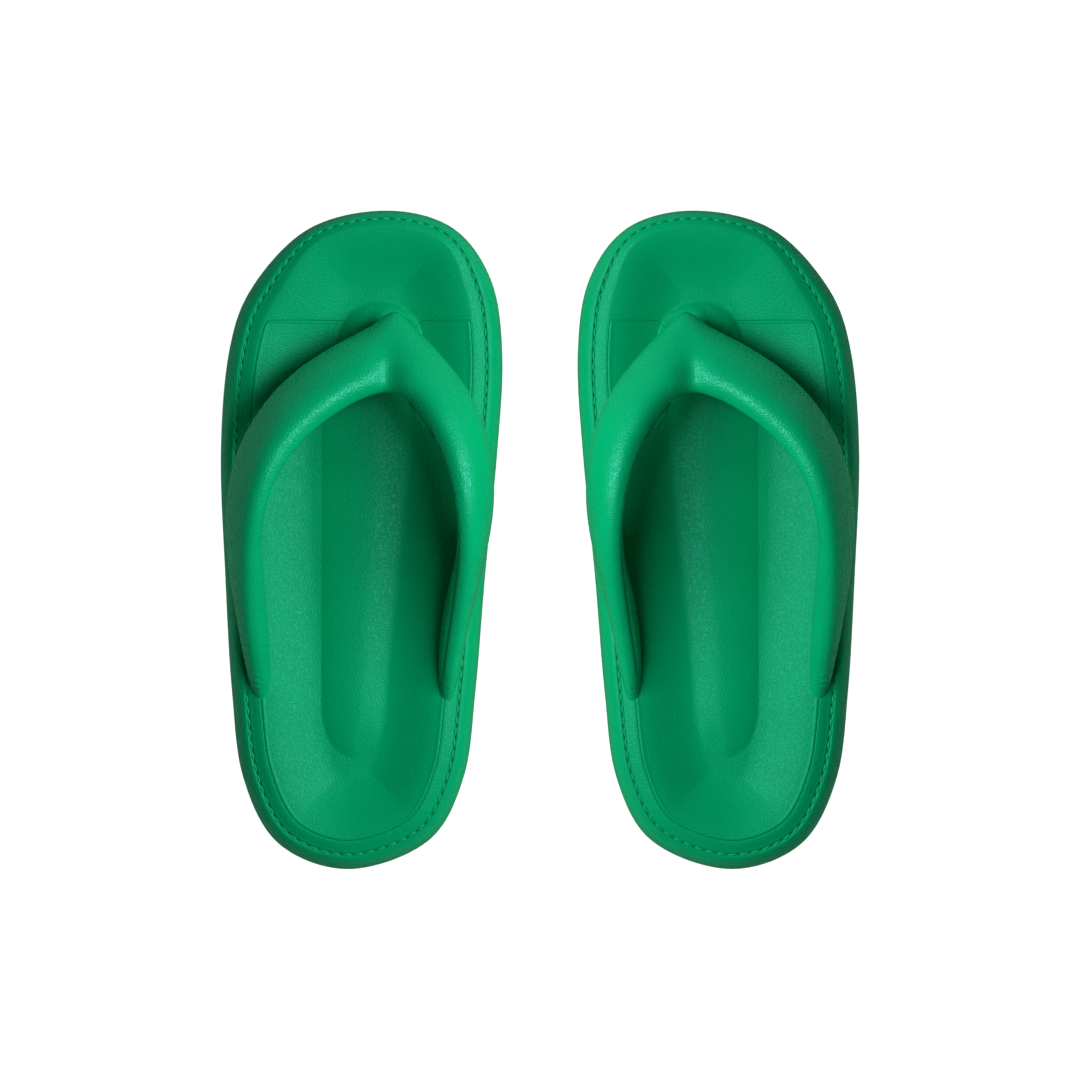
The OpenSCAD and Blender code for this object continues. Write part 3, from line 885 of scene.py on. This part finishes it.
def sewing_run():
    """Distance sewn, counted in stitches, at closely spaced steps round the rim."""
    size = context_stitch()
    u = np.linspace(0, len(OUTLINE), 2161)
    line = inset_point(u, np.full(len(u), size.inset / MM))
    steps = np.linalg.norm(np.diff(with_z(line, rim_height(line[:, 1])), axis=0), axis=1)
    run = np.concatenate([[0], np.cumsum(steps)])
    return u, run / run[-1] * round(run[-1] / (size.pitch / MM))


def stitch_line():
    """The middle of every stitch round the rim, and which of them the strap hides."""
    u, run = sewing_run()
    count = round(run[-1])
    p = inset_point(np.interp(np.arange(count), run, u), np.full(count, context_stitch().inset / MM))
    lateral = (p[:, 0] < 0) & (p[:, 1] > -56) & (p[:, 1] < 0)
    medial = (p[:, 0] > 0) & (p[:, 1] > -40) & (p[:, 1] < 1)
    return p, lateral | medial


def stitch_runs():
    """The two lines that the thread follows: round the toe and round the heel."""
    p, hidden = stitch_line()
    line = with_z(p, rim_height(p[:, 1]) - THREAD_DEPTH)
    start = int(np.argmax(hidden))
    line, hidden = np.roll(line, -start, 0), np.roll(hidden, -start)
    runs, current = [], []
    for point, skip in zip(line, hidden):
        if skip:
            if current:
                runs.append(np.array(current))
            current = []
        else:
            current.append(point)
    if current:
        runs.append(np.array(current))
    return runs


def context_stitch():
    return bpy.context.scene.flip_flop_stitch


class StitchTree:
    """Geometry nodes that lay short twisted lengths of thread along a curve."""

    def __init__(self):
        old = bpy.data.node_groups.get("stitch run")
        if old:
            bpy.data.node_groups.remove(old)
        self.tree = bpy.data.node_groups.new("stitch run", "GeometryNodeTree")
        face = self.tree.interface
        face.new_socket("Path", in_out="INPUT", socket_type="NodeSocketGeometry")
        for name in ("Length", "Radius"):
            face.new_socket(name, in_out="INPUT", socket_type="NodeSocketFloat")
        face.new_socket("Seed", in_out="INPUT", socket_type="NodeSocketInt")
        face.new_socket("Material", in_out="INPUT", socket_type="NodeSocketMaterial")
        face.new_socket("Stitches", in_out="OUTPUT", socket_type="NodeSocketGeometry")
        self.build()

    def add(self, kind, **settings):
        node = self.tree.nodes.new(kind)
        for key, value in settings.items():
            setattr(node, key, value)
        return node

    def link(self, a, b):
        self.tree.links.new(a, b)

    def maths(self, operation, a, b):
        node = self.add("ShaderNodeMath", operation=operation)
        for socket, value in zip(node.inputs, (a, b)):
            if isinstance(value, bpy.types.NodeSocket):
                self.link(value, socket)
            else:
                socket.default_value = value
        return node.outputs[0]

    def vector(self, x, y, z):
        node = self.add("ShaderNodeCombineXYZ")
        for socket, value in zip(node.inputs, (x, y, z)):
            if isinstance(value, bpy.types.NodeSocket):
                self.link(value, socket)
            else:
                socket.default_value = value
        return node.outputs[0]

    def build(self):
        given = self.add("NodeGroupInput").outputs
        half = self.maths("MULTIPLY", given["Length"], 0.5)
        back = self.maths("MULTIPLY", half, -1.0)
        dip = self.maths("MULTIPLY", given["Radius"], -1.3)
        crown = self.maths("MULTIPLY", given["Radius"], 1.35)
        arc = self.add("GeometryNodeCurveQuadraticBezier")
        arc.inputs["Resolution"].default_value = 14
        self.link(self.vector(back, 0.0, dip), arc.inputs["Start"])
        self.link(self.vector(0.0, 0.0, crown), arc.inputs["Middle"])
        self.link(self.vector(half, 0.0, dip), arc.inputs["End"])
        twist = self.add("GeometryNodeSetCurveTilt")
        self.link(arc.outputs[0], twist.inputs["Curve"])
        along = self.add("GeometryNodeSplineParameter").outputs["Factor"]
        self.link(self.maths("MULTIPLY", along, 5.0), twist.inputs["Tilt"])
        plies = self.add("GeometryNodeJoinGeometry")
        for sign in (-1.0, 1.0):
            ply = self.add("GeometryNodeCurvePrimitiveCircle")
            ply.inputs["Resolution"].default_value = 10
            self.link(self.maths("MULTIPLY", given["Radius"], 0.82), ply.inputs["Radius"])
            shift = self.add("GeometryNodeTransform")
            self.link(ply.outputs[0], shift.inputs["Geometry"])
            aside = self.maths("MULTIPLY", given["Radius"], 0.22 * sign)
            self.link(self.vector(aside, 0.0, 0.0), shift.inputs["Translation"])
            self.link(shift.outputs[0], plies.inputs[0])
        thread = self.add("GeometryNodeCurveToMesh")
        thread.inputs["Fill Caps"].default_value = True
        self.link(twist.outputs[0], thread.inputs["Curve"])
        self.link(plies.outputs[0], thread.inputs["Profile Curve"])
        tangent = self.add("GeometryNodeInputTangent").outputs[0]
        turn = self.add("FunctionNodeAlignRotationToVector", axis="X")
        self.link(tangent, turn.inputs["Vector"])
        wobble = self.add("FunctionNodeRandomValue", data_type="FLOAT")
        wobble.inputs[2].default_value = -0.06
        wobble.inputs[3].default_value = 0.06
        self.link(given["Seed"], wobble.inputs["Seed"])
        tilt = self.add("FunctionNodeRotateRotation", rotation_space="LOCAL")
        self.link(turn.outputs[0], tilt.inputs["Rotation"])
        self.link(self.vector(0.0, 0.0, wobble.outputs[1]), tilt.inputs["Rotate By"])
        lay = self.add("GeometryNodeInstanceOnPoints")
        self.link(given["Path"], lay.inputs["Points"])
        self.link(thread.outputs[0], lay.inputs["Instance"])
        self.link(tilt.outputs[0], lay.inputs["Rotation"])
        real = self.add("GeometryNodeRealizeInstances")
        self.link(lay.outputs[0], real.inputs[0])
        smooth = self.add("GeometryNodeSetShadeSmooth")
        self.link(real.outputs[0], smooth.inputs["Geometry"])
        paint_on = self.add("GeometryNodeSetMaterial")
        self.link(smooth.outputs[0], paint_on.inputs["Geometry"])
        self.link(given["Material"], paint_on.inputs["Material"])
        self.link(paint_on.outputs[0], self.add("NodeGroupOutput").inputs[0])


def set_input(modifier, name, value):
    for item in modifier.node_group.interface.items_tree:
        if item.item_type == "SOCKET" and item.in_out == "INPUT" and item.name == name:
            modifier[item.identifier] = value
            return
    raise RuntimeError(f"the tree has no input named {name}")


class FLIPFLOP_OT_stitching(bpy.types.Operator):
    """Sew the rim of each shoe: twisted thread laid in the groove"""
    bl_idname = "flip_flop.stitching"
    bl_label = "Stitching"

    def execute(self, context):
        size = context_stitch()
        material = thread_material("thread")
        tree = StitchTree().tree
        for side in SIDES:
            curve = bpy.data.curves.new(f"{side} stitch path", "CURVE")
            curve.dimensions = "3D"
            for run in stitch_runs():
                points = place(run, side)
                line = curve.splines.new("POLY")
                line.points.add(len(points) - 1)
                line.points.foreach_set("co", with_z(points, np.ones(len(points))).ravel())
            path = bpy.data.objects.new(f"{side} stitch path", curve)
            context.scene.collection.objects.link(path)
            modifier = path.modifiers.new("stitches", "NODES")
            modifier.node_group = tree
            for name, value in (
                ("Length", size.length), ("Radius", size.radius),
                ("Seed", size.seed), ("Material", material),
            ):
                set_input(modifier, name, value)
            graph = context.evaluated_depsgraph_get()
            mesh = bpy.data.meshes.new_from_object(path.evaluated_get(graph), depsgraph=graph)
            bpy.data.objects.remove(path)
            obj = bpy.data.objects.new(f"{side}_rim_stitches", mesh)
            shoe_collection(side).objects.link(obj)
            finish_piece(obj, side, ["stitching"], material)
        return {"FINISHED"}


class FLIPFLOP_OT_hidden_parts(bpy.types.Operator):
    """Give the outsoles, washers and anchors their finishes"""
    bl_idname = "flip_flop.hidden_parts"
    bl_label = "Outsoles and hidden parts"

    def execute(self, context):
        rubber = rubber_material("outsole rubber")
        plain = plastic_material("anchor plastic", (0.72, 0.72, 0.68), 0.5)
        for side in SIDES:
            for name, material in (
                ("outsole", rubber), ("post_washer", plain), ("lateral_anchor", plain),
                ("medial_anchor", plain),
            ):
                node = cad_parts[f"{side}_{name}"]
                node.data.materials.clear()
                node.data.materials.append(material)
                shoe_collection(side).objects.link(node)
        return {"FINISHED"}


# ---- stage ----


class FLIPFLOP_OT_stage(bpy.types.Operator):
    """Lay the floor, hang the lights and set the camera"""
    bl_idname = "flip_flop.stage"
    bl_label = "Stage"

    def execute(self, context):
        scene = context.scene
        stage = scene.flip_flop_stage
        floor = self.floor(scene, stage)
        self.sky(scene, stage)
        for side, way in (("left", 1), ("right", -1)):
            self.key(scene, stage, side, way)
        # Half the floor's light passes the shoes by, which leaves only a faint shadow round them.
        self.floor_light(scene, "floor light", floor, stage.floor_power, None)
        self.floor_light(scene, "floor fill", floor, stage.floor_power, floor)
        self.camera(scene, stage)
        scene.view_settings.view_transform = "Standard"
        return {"FINISHED"}

    def floor(self, scene, stage):
        mesh = bpy.data.meshes.new("floor")
        r, level = 3.0, -0.0006
        corners = [(-r, -r, level), (r, -r, level), (r, r, level), (-r, r, level)]
        mesh.from_pydata(corners, [], [(0, 1, 2, 3)])
        n = Nodes("floor paper")
        n.shader.inputs["Base Color"].default_value = (*stage.floor_colour, 1)
        n.shader.inputs["Roughness"].default_value = 0.9
        n.shader.inputs["Specular IOR Level"].default_value = 0.1
        mesh.materials.append(n.material)
        floor = bpy.data.objects.new("floor", mesh)
        scene.collection.objects.link(floor)
        floor.visible_glossy = False
        return floor

    def sky(self, scene, stage):
        world = bpy.data.worlds.new("even light")
        scene.world = world
        world.use_nodes = True
        back = world.node_tree.nodes["Background"]
        back.inputs[0].default_value = (1, 1, 1, 1)
        back.inputs[1].default_value = stage.sky

    def floor_light(self, scene, name, floor, power, only_blocker):
        """A wide even light for the floor alone; with only_blocker, nothing else casts a shadow in it."""
        data = bpy.data.lights.new(name, "AREA")
        data.size = 2.4
        data.energy = power
        lamp = bpy.data.objects.new(name, data)
        lamp.location = (0, 0, 1.5)
        scene.collection.objects.link(lamp)
        lit = bpy.data.collections.new(f"{name} reaches")
        lit.objects.link(floor)
        lamp.light_linking.receiver_collection = lit
        if only_blocker:
            blockers = bpy.data.collections.new(f"{name} shadows")
            blockers.objects.link(only_blocker)
            lamp.light_linking.blocker_collection = blockers
        lamp.visible_camera = False

    def key(self, scene, stage, side, way):
        """A long soft light from over the other shoe, so that each shoe is lit as if it lay alone."""
        data = bpy.data.lights.new(f"{side} key", "AREA")
        data.shape = "RECTANGLE"
        data.size, data.size_y = 0.34, 0.95
        data.energy = stage.key_power
        lamp = bpy.data.objects.new(f"{side} key", data)
        scene.collection.objects.link(lamp)
        target = Vector((-way * SHOE_OFFSET * MM, 0, 0.03))
        lean, ahead, away = math.radians(40), math.radians(14), 0.95
        aside = Vector((way * math.cos(ahead), math.sin(ahead), 0)) * math.sin(lean)
        lamp.location = target + (aside + Vector((0, 0, math.cos(lean)))) * away
        aim = (target - lamp.location).normalized()
        lamp.rotation_mode = "QUATERNION"
        lamp.rotation_quaternion = aim.to_track_quat("-Z", "Y")
        receivers = bpy.data.collections.new(f"{side} key lights")
        receivers.children.link(shoe_collection(side))
        lamp.light_linking.receiver_collection = receivers
        blockers = bpy.data.collections.new(f"{side} key shadows")
        blockers.children.link(shoe_collection(side))
        lamp.light_linking.blocker_collection = blockers
        lamp.visible_camera = False

    def camera(self, scene, stage):
        data = bpy.data.cameras.new("camera")
        sole_level = 0.022
        data.lens = data.sensor_width * (stage.camera_height - sole_level) / stage.view_width
        data.clip_end = 20
        camera = bpy.data.objects.new("camera", data)
        camera.location = (0, 0, stage.camera_height)
        scene.collection.objects.link(camera)
        scene.camera = camera


class FLIPFLOP_PT_panel(bpy.types.Panel):
    """Sizes, colours and the steps that build the pair"""
    bl_idname = "FLIPFLOP_PT_panel"
    bl_label = "Flip flops"
    bl_space_type = "VIEW_3D"
    bl_region_type = "UI"
    bl_category = "Flip flops"

    def draw(self, context):
        for name in PROPERTY_GROUPS:
            box = self.layout.box()
            group = getattr(context.scene, name)
            for key in group.__annotations__:
                box.prop(group, key)
        for step in OPERATORS:
            self.layout.operator(step.bl_idname)


PROPERTY_GROUPS = {
    "flip_flop_sole": SoleSizes,
    "flip_flop_strap": StrapSizes,
    "flip_flop_stitch": StitchSizes,
    "flip_flop_finish": FinishColours,
    "flip_flop_stage": StageSettings,
}
OPERATORS = [
    FLIPFLOP_OT_midsole, FLIPFLOP_OT_footbed, FLIPFLOP_OT_inlay, FLIPFLOP_OT_strap,
    FLIPFLOP_OT_toe_post, FLIPFLOP_OT_stitching, FLIPFLOP_OT_hidden_parts, FLIPFLOP_OT_stage,
]


def register():
    for group in PROPERTY_GROUPS.values():
        bpy.utils.register_class(group)
    for name, group in PROPERTY_GROUPS.items():
        setattr(bpy.types.Scene, name, bpy.props.PointerProperty(type=group))
    for step in [*OPERATORS, FLIPFLOP_PT_panel]:
        bpy.utils.register_class(step)


def unregister():
    for step in [FLIPFLOP_PT_panel, *reversed(OPERATORS)]:
        bpy.utils.unregister_class(step)
    for name in PROPERTY_GROUPS:
        delattr(bpy.types.Scene, name)
    for group in reversed(list(PROPERTY_GROUPS.values())):
        bpy.utils.unregister_class(group)


def main():
    register()
    for step in OPERATORS:
        group, name = step.bl_idname.split(".")
        getattr(getattr(bpy.ops, group), name)()


if __name__ == "__main__":
    main()
